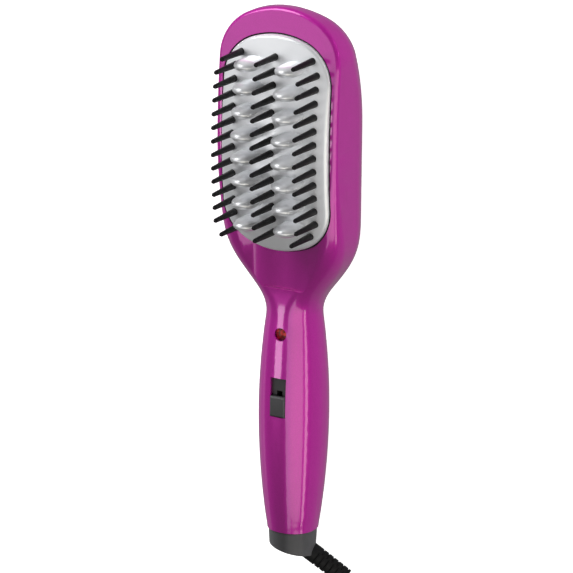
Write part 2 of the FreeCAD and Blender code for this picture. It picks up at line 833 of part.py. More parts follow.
def plate_carrier():
    outline = plate_outline(-size("carrier_inset"))
    half = size("plate_half_width") - size("carrier_bar")
    reach = size("plate_half_length") - size("carrier_end")
    frame = prism(outline.cut(rectangle_face(-half, half, -reach, reach)), CARRIER_LOW, CARRIER_TOP)
    radius = size("screw_radius") + size("hole_gap")
    return frame.cut([cylinder(radius, p, p + Vector(0, 0, AXIS + LOOSE)) for p in PLATE_BOSSES])


solid_node("plate_carrier", plate_carrier())

shield_outline = plate_outline(-size("shield_inset"))
shield_outline = shield_outline.common(rectangle_face(-LOOSE, LOOSE, size("shield_cut"), 2 * LOOSE))
shield = prism(shield_outline, SHIELD_LOW, SHIELD_TOP)
head_room = size("screw_head_radius") + size("post_bore_gap")
shield = shield.cut([cylinder(head_room, p, p + Vector(0, 0, AXIS + LOOSE)) for p in PLATE_BOSSES])
solid_node("heat_shield", shield)

thermostat_top = plate_top(0, size("thermostat_place") + size("thermostat_radius")) - clamp_low - size("layer_gap")
thermostat = node(doc.addObject("Part::Cylinder", "thermostat"), "thermostat")
bind(thermostat, Radius="thermostat_radius", Height="thermostat_height")
thermostat.Placement.Base = Vector(0, size("thermostat_place"), thermostat_top - size("thermostat_height"))

fuse_top = plate_top(size("fuse_column") + size("fuse_radius"), size("fuse_place") - size("fuse_length") / 2)
fuse_height = fuse_top - clamp_low - size("layer_gap") - size("fuse_radius")
fuse = node(doc.addObject("Part::Cylinder", "thermal_fuse"), "thermal_fuse")
bind(fuse, Radius="fuse_radius", Height="fuse_length")
fuse.Placement = Placement(Vector(size("fuse_column"), size("fuse_place") + size("fuse_length") / 2, fuse_height),
                           Rotation(Vector(1, 0, 0), 90))


# Screws: one turned master each, copied to its places
def screw_master(label, length):
    """A pan head screw, its head's seat at height 0, its thread upwards."""
    return turned_body(label, [
        ("0", "0 - screw_head"),
        ("screw_head_radius * 0.8", "0 - screw_head"),
        ("screw_head_radius", "0 - screw_head * 0.5"),
        ("screw_head_radius", "0"),
        ("screw_radius", "0"),
        ("screw_radius", length + " - screw_radius"),
        ("0", length),
    ])


housing_screw = screw_master("housing_screw_master", "screw_length")
solid_node("housing_screws", copies(housing_screw.Shape, [Vector(0, y, size("screw_seat")) for y in HOUSING_SCREWS]))
carrier_screw = screw_master("carrier_screw_master", "carrier_screw_length")
solid_node("carrier_screws", copies(carrier_screw.Shape, [Vector(p.x, p.y, CARRIER_LOW) for p in PLATE_BOSSES]))
clamp_screw = screw_master("clamp_screw_master", "cord_clamp_screw_length")
upside_down = clamp_screw.Shape.rotated(Vector(0, 0, 0), Vector(1, 0, 0), 180)
clamp_seat = AXIS + size("cord_clamp_rise") + size("layer_gap") / 2 + size("cord_clamp_height")
solid_node("clamp_screws", copies(upside_down, [Vector(p.x, p.y, clamp_seat) for p in CLAMP_POSTS]))


# Pilot lamp, its lens and the board that it stands on
lens = node(turned_body("lamp_lens", [
    ("0", "0"),
    ("lens_flange_radius", "0"),
    ("lens_flange_radius", "lens_flange"),
    ("lens_radius", "lens_flange"),
    ("lens_radius", "lens_flange + lens_barrel"),
    ("lens_radius * 0.45", "lens_flange + lens_barrel + lens_crown"),
    ("0", "lens_flange + lens_barrel + lens_crown * 0.6"),
]), "lamp_lens")
lens.Placement.Base = Vector(0, size("lamp_place"), lens_low())

board = new_body("circuit_board")
board_sketch = new_sketch(board, "board_outline")
rectangle(board_sketch, "0 - board_half_width", "board_half_width", "board_start", "board_end")
pad(board, board_sketch, "board_thickness", "board_sheet")
bind(board, Placement_Base_z="grip_radius + board_height")
node(board, "circuit_board")

derive("lamp_height", lens_low() - size("layer_gap") - BOARD_LOW - size("board_thickness"))
lamp = node(turned_body("pilot_lamp", [
    ("0", "0"),
    ("lamp_radius * 1.15", "0"),
    ("lamp_radius * 1.15", "lamp_radius * 0.4"),
    ("lamp_radius", "lamp_radius * 0.4"),
    ("lamp_radius", "lamp_height - lamp_radius"),
    ("lamp_radius * 0.7", "lamp_height - lamp_radius * 0.3"),
    ("0", "lamp_height"),
]), "pilot_lamp")
lamp.Placement.Base = Vector(0, size("lamp_place"), BOARD_LOW + size("board_thickness"))


# Slide switch: knob and slider move together along the grip
slot_middle = (size("slot_low") + size("slot_high")) / 2
slot_surface = front_at(slot_middle)
tray_top = slot_surface - size("tray_floor")
tray_seat = slot_surface - size("tray_seat")
knob_low = size("slot_low") + size("slide_gap")
knob_high = knob_low + size("knob_length")
knob_middle = (knob_low + knob_high) / 2
travel = size("slot_high") - size("slide_gap") - knob_high
switch_top = slot_surface - size("switch_drop")
slider_base = switch_top + size("layer_gap")
knob_base = derive("knob_base", slot_surface + size("knob_proud") - size("knob_height"))
derive("stem_drop", knob_base - slider_base - size("slider_height"))
derive("tray_rise", tray_top - tray_seat)
derive("tray_leg_drop", tray_seat - size("tray_flange") - switch_top)

knob = new_body("switch_knob")
knob_sketch = new_sketch(knob, "knob_outline")
rectangle(knob_sketch, "slide_gap - slot_half_width", "slot_half_width - slide_gap", "slot_low + slide_gap",
          "slot_low + slide_gap + knob_length")
pad(knob, knob_sketch, "knob_height", "knob_block")
knob_top = size("knob_height")
round_edges(knob, "knob_round", lambda edge: edge.BoundBox.ZMin > knob_top - 0.01)
stem_sketch = new_sketch(knob, "stem_outline")
rectangle(stem_sketch, "0 - stem_half_width", "stem_half_width",
          "slot_low + slide_gap * 2", "slot_low + slide_gap * 2 + stem_length")
stem = pad(knob, stem_sketch, "stem_drop", "knob_stem")
stem.Reversed = True
bind(knob, Placement_Base_z="knob_base")
node(knob, "switch_knob")

slider = node(doc.addObject("Part::Box", "switch_slider"), "switch_slider")
bind(slider, Length="slider_half_width * 2", Width="slider_length", Height="slider_height")
slider.Placement.Base = Vector(-size("slider_half_width"), knob_middle - size("slider_length") / 2, slider_base)

tray = new_body("switch_tray")
flange_sketch = new_sketch(tray, "tray_outline")
tray_low = "slot_low - tray_overlap"
tray_high = "slot_high + tray_overlap"
rectangle(flange_sketch, "0 - tray_half_width", "tray_half_width", tray_low, tray_high)
flange = pad(tray, flange_sketch, "tray_flange", "tray_plate")
flange.Reversed = True
floor_sketch = new_sketch(tray, "tray_floor_outline")
rectangle(floor_sketch, "slide_gap / 2 - slot_half_width", "slot_half_width - slide_gap / 2",
          "slot_low + slide_gap / 2", "slot_high - slide_gap / 2")
pad(tray, floor_sketch, "tray_rise", "tray_raised_floor")
for leg, (low, high) in dict(leg_low=(tray_low, tray_low + " + tray_leg"),
                             leg_high=(tray_high + " - tray_leg", tray_high)).items():
    leg_sketch = new_sketch(tray, leg + "_outline", offset="0 - tray_flange")
    rectangle(leg_sketch, "0 - switch_half_width", "switch_half_width", low, high)
    leg_pad = pad(tray, leg_sketch, "tray_leg_drop", leg)
    leg_pad.Reversed = True
stem_slot = new_sketch(tray, "stem_slot_outline", offset="0 - tray_flange")
rectangle(stem_slot, "0 - stem_half_width - slide_gap", "stem_half_width + slide_gap",
          "slot_low + slide_gap", "slot_high - knob_length + stem_length + slide_gap")
pocket(tray, stem_slot, "tray_flange + tray_rise + 1", "stem_slot", upwards=True)
tray.Placement.Base = Vector(0, 0, tray_seat)
node(tray, "switch_tray")

switch = node(doc.addObject("Part::Box", "switch_body"), "switch_body")
bind(switch, Length="switch_half_width * 2", Width="slot_high - slot_low + 2 * tray_overlap", Height="switch_height")
switch.Placement.Base = Vector(-size("switch_half_width"), TRAY_LOW, switch_top - size("switch_height"))


# Cord clamp inside the handle
clamp_bar = new_body("cord_clamp")
bar_sketch = new_sketch(clamp_bar, "bar_outline")
rectangle(bar_sketch, "0 - cord_clamp_half_width", "cord_clamp_half_width",
          "0 - cord_clamp_length / 2", "cord_clamp_length / 2")
pad(clamp_bar, bar_sketch, "cord_clamp_height", "bar_block")
bar_holes = new_sketch(clamp_bar, "bar_holes")
for side in ("0 - ", ""):
    circle(bar_holes, side + "cord_clamp_screw", "0", "screw_radius + hole_gap")
pocket(clamp_bar, bar_holes, "cord_clamp_height + 1", "bar_screw_holes", upwards=True)
bind(clamp_bar, Placement_Base_y="cord_clamp_place",
     Placement_Base_z="grip_radius + cord_clamp_rise + layer_gap / 2")
node(clamp_bar, "cord_clamp")


# Cord swivel: everything here is drawn with the boot towards the back, then turned to lie sideways
ALONG = Rotation(Vector(1, 0, 0), -90)  # a turned body's own Z axis laid along +Y
SWIVEL = Placement(Vector(0, size("swivel_place"), AXIS), Rotation(Vector(0, 1, 0), -size("swivel_turn")))
lean = math.radians(size("swivel_angle"))
BOOT = Vector(0, -math.cos(lean), -math.sin(lean))

bush = node(turned_body("swivel_bush", [
    ("spigot_radius + running_gap", "0"),
    ("spigot_radius + running_gap + bush_wall", "0"),
    ("spigot_radius + running_gap + bush_wall", "end_wall + running_gap"),
    ("bush_flange_radius", "end_wall + running_gap"),
    ("bush_flange_radius", "end_wall + running_gap + bush_flange"),
    ("spigot_radius + running_gap", "end_wall + running_gap + bush_flange"),
]), "swivel_bush")
bush.Placement = Placement(Vector(0, size("handle_end"), AXIS), ALONG)

cap_blank = turned_body("cap_blank", [
    ("spigot_bore", "cap_long - swivel_place"),
    ("cap_low_radius", "cap_long - swivel_place"),
    ("cap_radius", "handle_end - swivel_gap - swivel_place"),
    ("spigot_radius", "handle_end - swivel_gap - swivel_place"),
    ("spigot_radius", "handle_end + end_wall + running_gap * 3 + bush_flange - swivel_place"),
    ("spigot_radius - ring_depth", "handle_end + end_wall + running_gap * 3 + bush_flange - swivel_place"),
    ("spigot_radius - ring_depth", "handle_end + end_wall + running_gap * 5 + bush_flange + ring_thickness - swivel_place"),
    ("spigot_radius", "handle_end + end_wall + running_gap * 5 + bush_flange + ring_thickness - swivel_place"),
    ("spigot_radius", "spigot_end - swivel_place"),
    ("spigot_bore", "spigot_end - swivel_place"),
])
cap_turned = cap_blank.Shape.rotated(Vector(0, 0, 0), Vector(1, 0, 0), -90)


def slanted_cap(turned):
    """Cuts the cap's end on the slant and bores it for the boot."""
    short = Vector(0, size("cap_short") - size("swivel_place"), size("cap_low_radius"))
    long = Vector(0, size("cap_long") - size("swivel_place"), -size("cap_low_radius"))
    slope = (long - short).normalize()
    under = Vector(1, 0, 0).cross(slope) * -1
    plane = Part.Face(Part.makePolygon([
        short + slope * (along * LOOSE) + Vector(across * LOOSE, 0, 0)
        for along, across in ((-1, -1), (1, -1), (1, 1), (-1, 1), (-1, -1))]))
    stopper = cylinder(size("spigot_bore") + size("running_gap"), Vector(0, long.y, 0), Vector(0, short.y, 0))
    shape = turned.fuse(stopper).cut(plane.extrude(under * LOOSE))
    bore = cylinder(size("boot_radius") + size("running_gap"), BOOT * size("boot_start"), BOOT * LOOSE)
    lead = cylinder(size("spigot_bore"), Vector(0, 0, 0), BOOT * LOOSE)
    return shape.cut([bore, lead]).Solids[0]


solid_node("swivel_cap", slanted_cap(cap_turned), SWIVEL)

ring = node(turned_body("swivel_ring", [
    ("spigot_radius - ring_depth + running_gap", "0"),
    ("ring_radius", "0"),
    ("ring_radius", "ring_thickness"),
    ("spigot_radius - ring_depth + running_gap", "ring_thickness"),
]), "swivel_ring")
ring_place = size("handle_end") + size("end_wall") + size("running_gap") * 4 + size("bush_flange")
ring.Placement = Placement(Vector(0, ring_place, AXIS), ALONG)


def strain_relief():
    """A tapered boot with slots that open in turn on its sides and on its top and bottom."""
    start = size("boot_start")
    end = size("boot_length")
    straight = cylinder(size("boot_radius"), BOOT * start, BOOT * size("slot_first"))
    taper = Part.makeCone(size("boot_radius"), size("boot_end_radius"), end - size("slot_first"),
                          BOOT * size("slot_first"), BOOT)
    boot = straight.fuse(taper).removeSplitter()
    across = Vector(1, 0, 0)
    upwards = BOOT.cross(across)
    slots = []
    for i in range(int(size("slot_count"))):
        for half, side in ((0.0, across), (0.5, upwards)):
            middle = size("slot_first") + size("slot_pitch") * (i + half)
            radius = size("boot_radius") - (size("boot_radius") - size("boot_end_radius")) * (
                (middle - size("slot_first")) / (end - size("slot_first")))
            width = Part.makeBox(2 * LOOSE, size("slot_width"), LOOSE,
                                 Vector(-LOOSE, -size("slot_width") / 2, radius - size("slot_depth")))
            turn = Rotation(side.cross(BOOT), BOOT, side, "ZXY")
            for way in (0, 180):
                cut = width.rotated(Vector(0, 0, 0), Vector(0, 1, 0), way)
                cut.Placement = Placement(BOOT * middle, turn).multiply(cut.Placement)
                slots.append(cut)
    return boot.cut(slots)


solid_node("strain_relief", strain_relief(), SWIVEL)


# Cord: tubes along routes of straight runs and tangent arcs
BEND_SHARE = 0.45


def rounded_route(points):
    """A wire of straight runs joined by arcs as large as the runs allow, and the arcs' radii."""
    edges = []
    radii = []
    last = points[0]
    for before, corner, after in zip(points, points[1:], points[2:]):
        back = before - corner
        forth = after - corner
        trim = BEND_SHARE * min(back.Length, forth.Length)
        half_turn = (math.pi - back.getAngle(forth)) / 2
        radius = trim / math.tan(half_turn)
        back.normalize()
        forth.normalize()
        inwards = (back + forth).normalize()
        centre_reach = math.hypot(trim, radius)
        start = corner + back * trim
        end = corner + forth * trim
        edges.append(Part.makeLine(last, start))
        edges.append(Part.Arc(start, corner + inwards * (centre_reach - radius), end).toShape())
        radii.append(radius)
        last = end
    edges.append(Part.makeLine(last, points[-1]))
    return Part.Wire(edges), radii


def tube(path, radius):
    """A round tube along a wire."""
    start = path.Edges[0]
    place = start.valueAt(start.FirstParameter)
    along = start.tangentAt(start.FirstParameter)
    ring_edge = Part.Circle(place, along, radius).toShape()
    shell = Part.BRepOffsetAPI.MakePipeShell(path)
    shell.add(Part.Wire([ring_edge]))
    shell.build()
    shell.makeSolid()
    return shell.shape()


def cord_tube(name, points, radius):
    """A tube along a rounded route, with its radii and its volume against section times length printed."""
    path, radii = rounded_route(points)
    solid = tube(path, radius)
    expected = math.pi * radius ** 2 * path.Length
    print("%s: length %.1f, radii %s, volume ratio %.4f" % (
        name, path.Length, " ".join("%.0f" % r for r in radii), solid.Volume / expected))
    return solid


def biarc(start, start_way, end, end_way):
    """Two arcs that leave start along start_way and reach end along end_way."""
    chord = end - start
    ways = start_way + end_way
    a = 2 * (1 - start_way.dot(end_way))
    b = 2 * chord.dot(ways)
    c = -chord.dot(chord)
    reach = (-b + math.sqrt(b * b - 4 * a * c)) / (2 * a) if abs(a) > 1e-9 else -c / b
    control_start = start + start_way * reach
    control_end = end - end_way * reach
    joint = (control_start + control_end) * 0.5
    arcs = []
    for first, control, last in ((start, control_start, joint), (joint, control_end, end)):
        middle = (first + last) * 0.5
        half = (last - first).Length / 2
        depth = (control - middle).Length
        if depth < 1e-6:
            arcs.append(Part.makeLine(first, last))
            continue
        # the arc's middle lies on the line from the chord's middle to the control point
        leg = (control - first).Length
        rise = half * (leg - half) / depth
        arcs.append(Part.Arc(first, middle + (control - middle) * (rise / depth), last).toShape())
    return arcs


CORD = size("cord_radius")
COIL_STEP = 2 * CORD + size("coil_gap")
COIL_FLOOR = CORD + size("tie_thickness") + size("tie_gap") / 2
COIL_CENTRE = Vector(size("coil_centre_x"), size("coil_centre_y"), 0)
COIL_CLIMB = 0.5  # the half turn in which the cord climbs a layer and turns outwards again
COIL_TURNS = 2 * size("coil_turns") + COIL_CLIMB
COIL_LARGEST = size("coil_radius") + COIL_STEP * size("coil_turns") / 2
COIL_SMALLEST = size("coil_radius") - COIL_STEP * size("coil_turns") / 2


def coil_point(turns):
    """Place on the coil's line: inwards on the lower layer, up, then outwards on the upper one."""
    layer = size("coil_turns")
    climbed = min(max((turns - layer) / COIL_CLIMB, 0.0), 1.0)
    radius = COIL_LARGEST - COIL_STEP * min(turns, layer) + COIL_STEP * max(turns - layer - COIL_CLIMB, 0.0)
    radius -= size("coil_dip") * math.sin(math.pi * climbed) ** 2
    height = COIL_FLOOR + COIL_STEP * share(climbed, 0, 1)
    angle = math.radians(size("coil_start")) - 2 * math.pi * turns
    return COIL_CENTRE + Vector(radius * math.cos(angle), radius * math.sin(angle), height)


def coil_way(turns):
    step = 1e-4
    return (coil_point(turns + step) - coil_point(turns - step)).normalize()


def level(way):
    return Vector(way.x, way.y, 0).normalize()


def coil_path():
    quarters = round(COIL_TURNS * 4)
    stops = [COIL_TURNS * i / quarters for i in range(quarters + 1)]
    first = coil_point(0)
    last = coil_point(COIL_TURNS)
    first_way = level(coil_way(0))
    last_way = level(coil_way(COIL_TURNS))
    edges = [Part.makeLine(first - first_way * 2 * CORD, first)]
    for a, b in zip(stops, stops[1:]):
        edges += biarc(coil_point(a), coil_way(a), coil_point(b), coil_way(b))
    edges.append(Part.makeLine(last, last + last_way * 2 * CORD))
    return Part.Wire(edges)


def least_gap(path, diameter):
    """Least gap of a wound tube to itself, measured on points a little apart along its line."""
    spacing = diameter / 2
    points = path.discretize(Number=int(path.Length / spacing))
    skip = int(3 * diameter / spacing)
    return min((a - b).Length for i, a in enumerate(points) for b in points[i + skip:]) - diameter


coil_line = coil_path()
coil = tube(coil_line, CORD)
print("coil: length %.0f, least gap to itself %.2f, volume ratio %.4f" % (
    coil_line.Length, least_gap(coil_line, 2 * CORD), coil.Volume / (math.pi * CORD ** 2 * coil_line.Length)))
coil_in = coil_line.Vertexes[0].Point
coil_out = coil_line.Vertexes[-1].Point
in_way = level(coil_way(0))
out_way = level(coil_way(COIL_TURNS))

solid_node("cord_coil", coil)

END_RUN = 14.5  # straight lengths of the lead at the boot and at the coil
boot_way = SWIVEL.Rotation.multVec(BOOT)
boot_end = SWIVEL.multVec(BOOT * size("boot_length"))
lead_start = boot_end + boot_way * size("swivel_gap")
lead_route = [lead_start, lead_start + boot_way * END_RUN, coil_in - in_way * END_RUN, coil_in]
solid_node("cord_lead", cord_tube("cord_lead", lead_route, CORD))

# The tail bends round the coil to the plug, which lies beyond the coil and points to -X
plug_axis = size("plug_half_height")
plug_row = COIL_CENTRE.y - COIL_LARGEST - CORD - size("plug_half_width") - 2.5
plug_start = Vector(COIL_CENTRE.x + 3.5, plug_row, plug_axis)
tail_route = [
    coil_out,
    plug_start + Vector(43.1, 38.8, 2.1),
    plug_start + Vector(40.5, 20.8, 1.0),
    plug_start + Vector(31.0, 6.8, 0.1),
    plug_start + Vector(17.0, 0, 0),
    plug_start,
]
solid_node("cord_tail", cord_tube("cord_tail", tail_route, CORD))
for name, route in (("lead", lead_route), ("tail", tail_route)):
    print(name, [tuple(round(number, 2) for number in point) for point in route])


def tie_band():
    """A flat band round the coil's turns, drawn at angle 0 and turned to its place."""
    gap = size("tie_gap")
    thick = size("tie_thickness")
    half = size("tie_width") / 2
    low = Vector(COIL_SMALLEST - size("coil_dip") - CORD - gap, -half, thick)
    high = Vector(COIL_LARGEST + CORD + gap, half, COIL_FLOOR + COIL_STEP + CORD + gap)
    outwards = Vector(thick, 0, thick)
    band = box_between(low - outwards, high + outwards)
    return band.cut(box_between(low - Vector(0, 1, 0), high + Vector(0, 1, 0)))


solid_node("coil_tie", tie_band(), Placement(COIL_CENTRE, Rotation(Vector(0, 0, 1), size("tie_place"))))


# Plug, drawn standing on its cord end and laid along -X
PLUG = Placement(plug_start, Rotation(Vector(0, 1, 0), -90))


def plug_block():
    neck = Part.makeCone(size("plug_neck_end_radius"), size("plug_neck_radius"), size("plug_neck_length"))
    low = Vector(-size("plug_half_height"), -size("plug_half_width"), size("plug_neck_length"))
    high = Vector(size("plug_half_height"), size("plug_half_width"), size("plug_neck_length") + size("plug_length"))
    block = box_between(low, high)
    face = high.z - 0.01
    block = block.makeFillet(size("plug_round"), [edge for edge in block.Edges if edge.BoundBox.ZMin < face])
    slots = []
    for side in (-1, 1):
        slots.append(blade_box(side, size("hole_gap"), high.z - size("blade_root") - size("hole_gap"), high.z + 1))
    return block.fuse(neck).cut(slots)


def blade_box(side, gap, low, high):
    half_width = size("blade_width") / 2 + gap
    half_thick = size("blade_thickness") / 2 + gap
    middle = side * size("blade_spacing") / 2
    return box_between(Vector(-half_width, middle - half_thick, low), Vector(half_width, middle + half_thick, high))


def plug_blades():
    face = size("plug_neck_length") + size("plug_length")
    blades = []
    for side in (-1, 1):
        blade = blade_box(side, 0.0, face - size("blade_root"), face + size("blade_length"))
        middle = Vector(0, side * size("blade_spacing") / 2, face + size("blade_hole_place"))
        reach = Vector(0, size("blade_thickness"), 0)
        blades.append(blade.cut(cylinder(size("blade_hole_radius"), middle - reach, middle + reach)))
    return Part.makeCompound(blades)


solid_node("plug_body", plug_block(), PLUG)
solid_node("plug_blades", plug_blades(), PLUG)


# Wires inside the housing
def wire_pair(label, route):
    """Two wires, one the mirror image of the other."""
    radius = size("wire_radius")
    wires = []
    for side in (1, -1):
        points = [Vector(side * x, y, z) for x, y, z in route]
        wires.append(cord_tube(label, points, radius))
    return solid_node(label, Part.makeCompound(wires))


wire_rise = size("wire_radius") + size("layer_gap")
board_top = BOARD_LOW + size("board_thickness") + wire_rise
heater_end = -size("heater_half_length") + 2 * wire_rise
wire_column = size("dome_column") - 2.0
wire_pair("heater_wires", [
    (4.0, size("board_end") - 2.0, board_top),
    (5.5, HOUSING_SCREWS[0] - 6.0, board_top),
    (7.0, HOUSING_SCREWS[0] + 13.0, board_top),
    (wire_column, heater_end, board_top),
    (wire_column, heater_end, plate_top(wire_column + size("wire_radius"), heater_end) - heater_low - size("layer_gap")),
])
beside_post = size("rear_post_radius") + 2 * wire_rise
wire_pair("mains_wires", [
    (1.6, size("spigot_end") + 0.5, AXIS),
    (2.4, size("cord_clamp_place") + 6.0, AXIS),
    (beside_post, HOUSING_SCREWS[2] - 5.0, AXIS + 1.0),
    (beside_post, HOUSING_SCREWS[2] + 3.0, AXIS + 2.0),
    (3.6, TRAY_LOW - size("layer_gap"), AXIS + 3.5),
])
print("switch travel %.2f" % travel)


def check_and_write():
    doc.recompute()
    for thing in doc.Objects:
        if "Invalid" in thing.State or "Error" in thing.State:
            raise RuntimeError("%s failed: %s" % (thing.Name, thing.State))
    for thing in NODES:
        if thing.Shape.isNull() or not thing.Shape.isValid():
            raise RuntimeError("%s has no valid shape" % thing.Label)
    os.makedirs("parts", exist_ok=True)
    for thing in NODES:
        thing.Shape.exportStep("parts/%s.step" % thing.Label)


check_and_write()
for thing in NODES:
    box = thing.Shape.BoundBox
    print("%-16s solids %2d volume %9.1f  x %.1f %.1f  y %.1f %.1f  z %.1f %.1f" % (
        thing.Label, len(thing.Shape.Solids), thing.Shape.Volume,
        box.XMin, box.XMax, box.YMin, box.YMax, box.ZMin, box.ZMax))
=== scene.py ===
"""Looks of a corded hair straightening brush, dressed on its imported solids."""
import json
import math

import bpy
from mathutils import Matrix, Vector


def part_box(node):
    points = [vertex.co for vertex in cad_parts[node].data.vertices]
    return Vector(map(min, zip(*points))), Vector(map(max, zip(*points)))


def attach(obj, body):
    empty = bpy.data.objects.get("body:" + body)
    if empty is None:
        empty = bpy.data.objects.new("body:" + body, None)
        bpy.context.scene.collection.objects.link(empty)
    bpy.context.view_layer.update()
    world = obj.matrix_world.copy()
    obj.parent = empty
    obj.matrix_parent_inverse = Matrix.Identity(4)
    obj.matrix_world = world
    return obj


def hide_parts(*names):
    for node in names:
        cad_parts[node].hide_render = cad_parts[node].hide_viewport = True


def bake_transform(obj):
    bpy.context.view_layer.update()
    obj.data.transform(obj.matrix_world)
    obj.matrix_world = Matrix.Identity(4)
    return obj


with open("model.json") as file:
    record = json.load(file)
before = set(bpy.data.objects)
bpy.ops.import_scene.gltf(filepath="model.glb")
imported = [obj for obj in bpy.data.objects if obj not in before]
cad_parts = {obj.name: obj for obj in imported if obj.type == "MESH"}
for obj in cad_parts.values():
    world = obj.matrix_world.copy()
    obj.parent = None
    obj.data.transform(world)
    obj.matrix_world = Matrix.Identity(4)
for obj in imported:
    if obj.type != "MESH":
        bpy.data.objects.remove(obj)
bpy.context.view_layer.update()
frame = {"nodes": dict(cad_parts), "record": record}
nodes = frame["nodes"]
bpy.ops.object.select_all(action="DESELECT")
MM = 0.001
WHITE = (1, 1, 1, 1)


# Colours, by the sRGB curve with its straight foot
SRGB_TOP = 255
SRGB_OFFSET = 0.055
SRGB_POWER = 2.4
SRGB_FOOT = 10
SRGB_FOOT_SCALE = 3295


def linear_level(level):
    """A picture level from 0 to 255 as scene light."""
    if level <= SRGB_FOOT:
        return level / SRGB_FOOT_SCALE
    return ((level / SRGB_TOP + SRGB_OFFSET) / (1 + SRGB_OFFSET)) ** SRGB_POWER


def linear(levels):
    """Three picture levels as a colour in scene light."""
    return (*(linear_level(level) for level in levels), 1)


# Shader building
class Signal:
    """A shader socket that adds and multiplies like a number."""

    def __init__(self, paint, socket):
        self.paint = paint
        self.socket = socket

    def maths(self, operation, other):
        node = self.paint.node("Math", {"operation": operation})
        for socket, value in zip(node.inputs, (self, other)):
            self.paint.feed(socket, value)
        return Signal(self.paint, node.outputs[0])

    def __add__(self, other):
        return self.maths("ADD", other)

    def __mul__(self, other):
        return self.maths("MULTIPLY", other)

    __radd__ = __add__
    __rmul__ = __mul__


def between(share, low, high):
    """A signal that goes from low to high as the share goes from 0 to 1."""
    return low + share * (high - low)


def mixed(first, second, share):
    """That share of the first signal and the rest of the second."""
    return first * share + second * (1 - share)


# Colour sockets of a Mix node by number, because several of its sockets have the same name
MIX_LOW = 6
MIX_HIGH = 7
MIX_RESULT = 2


class Paint:
    """One procedural material."""

    def __init__(self, name):
        self.material = bpy.data.materials.new(name)
        self.material.use_nodes = True
        self.tree = self.material.node_tree
        self.shader = self.tree.nodes["Principled BSDF"]

    def feed(self, socket, value):
        """Links a signal to a socket, or sets a plain value on it."""
        if isinstance(value, Signal):
            self.tree.links.new(value.socket, socket)
        else:
            socket.default_value = value

    def node(self, kind, settings=None, sockets=None):
        """A new node with its settings, and with values or signals on its sockets."""
        node = self.tree.nodes.new("ShaderNode" + kind)
        for name, value in (settings or {}).items():
            setattr(node, name, value)
        for name, value in (sockets or {}).items():
            self.feed(node.inputs[name], value)
        return node

    def signal(self, node, name):
        return Signal(self, node.outputs[name])

    def places(self):
        return self.signal(self.node("TexCoord"), "Object")

    def noise(self, size, detail=2.0):
        """Smooth noise from 0 to 1 with lumps of about that size, in metres."""
        sockets = {"Vector": self.places(), "Scale": 1 / size, "Detail": detail}
        return self.signal(self.node("TexNoise", None, sockets), "Fac")

    def flakes(self, size):
        """A number from 0 to 1, different in each small cell of about that size, in metres."""
        cells = self.node("TexVoronoi", None, {"Vector": self.places(), "Scale": 1 / size})
        split = self.node("SeparateColor", None, {"Color": self.signal(cells, "Color")})
        return self.signal(split, "Red")

    def shades(self, share, low, high):
        """A colour that goes from low to high, both given as picture levels."""
        mix = self.node("Mix", {"data_type": "RGBA"})
        self.feed(mix.inputs["Factor"], share)
        self.feed(mix.inputs[MIX_LOW], linear(low))
        self.feed(mix.inputs[MIX_HIGH], linear(high))
        return Signal(self, mix.outputs[MIX_RESULT])

    def bump(self, height, depth):
        """A normal from a height of 0 to 1 that stands for a depth in metres."""
        bump = self.node("Bump", None, {"Height": height, "Distance": depth, "Strength": 1.0})
        self.feed(self.shader.inputs["Normal"], self.signal(bump, "Normal"))

    def look(self, **sockets):
        """Feeds the shader's sockets, written with _ for the spaces in their names."""
        for name, value in sockets.items():
            self.feed(self.shader.inputs[name.replace("_", " ")], value)

    def joined(self, kind, first, second, sockets=None):
        """A shader node of that kind, with two other shader nodes on its last two sockets."""
        node = self.node(kind, None, sockets)
        for socket, shader in zip(list(node.inputs)[-2:], (first, second)):
            self.tree.links.new(shader.outputs[0], socket)
        return node


# Materials
def pearl_paint():
    """Magenta with fine flakes under a clear coat."""
    paint = Paint("pearl_magenta")
    spark = paint.flakes(size=0.28 * MM)
    drift = paint.noise(size=6 * MM)
    colour = paint.shades(mixed(spark, drift, share=0.7), (182, 12, 150), (198, 24, 166))
    paint.look(Base_Color=colour, Metallic=0.5, Roughness=between(spark, 0.28, 0.33))
    paint.look(Coat_Weight=1.0, Coat_Roughness=0.08, Coat_IOR=1.75)
    paint.bump(paint.noise(size=0.8 * MM, detail=1.0), depth=0.001 * MM)
    return paint


def plate_paint():
    """Satin silver with a fine grain and wide, faint clouds."""
    paint = Paint("satin_silver")
    grain = paint.noise(size=0.35 * MM, detail=3.0)
    cloud = paint.noise(size=14 * MM)
    colour = paint.shades(mixed(grain, cloud, share=0.5), (244, 246, 250), (252, 253, 255))
    paint.look(Base_Color=colour, Metallic=0.66, Roughness=between(grain, 0.28, 0.38))
    paint.bump(grain, depth=0.003 * MM)
    return paint


def lens_paint():
    """Red with painted lighter and darker patches of a facet's size, as painted highlights and shade
    on its facets.
    """
    paint = Paint("red_lens")
    facet = paint.flakes(size=1.3 * MM)
    # Each cell's red runs from dark to light: painted highlight and painted shade on the facets
    paint.look(Base_Color=paint.shades(facet * facet, (70, 3, 5), (230, 40, 34)), Roughness=0.25)
    return paint


def glass_paint():
    """Clear glass with faint smears."""
    paint = Paint("lamp_glass")
    smear = paint.noise(size=2 * MM)
    paint.look(Base_Color=(0.9, 0.9, 0.9, 1), Roughness=between(smear, 0.05, 0.13))
    paint.look(Transmission_Weight=0.8, IOR=1.5)
    return paint


CLOUD_GRAINS = 25
GRAIN_ROUGHENING = 0.12
SCRATCH_SIZE = 0.6 * MM
SCRATCH_DEPTH = 0.004 * MM
SCRATCH_ROUGHENING = 0.15


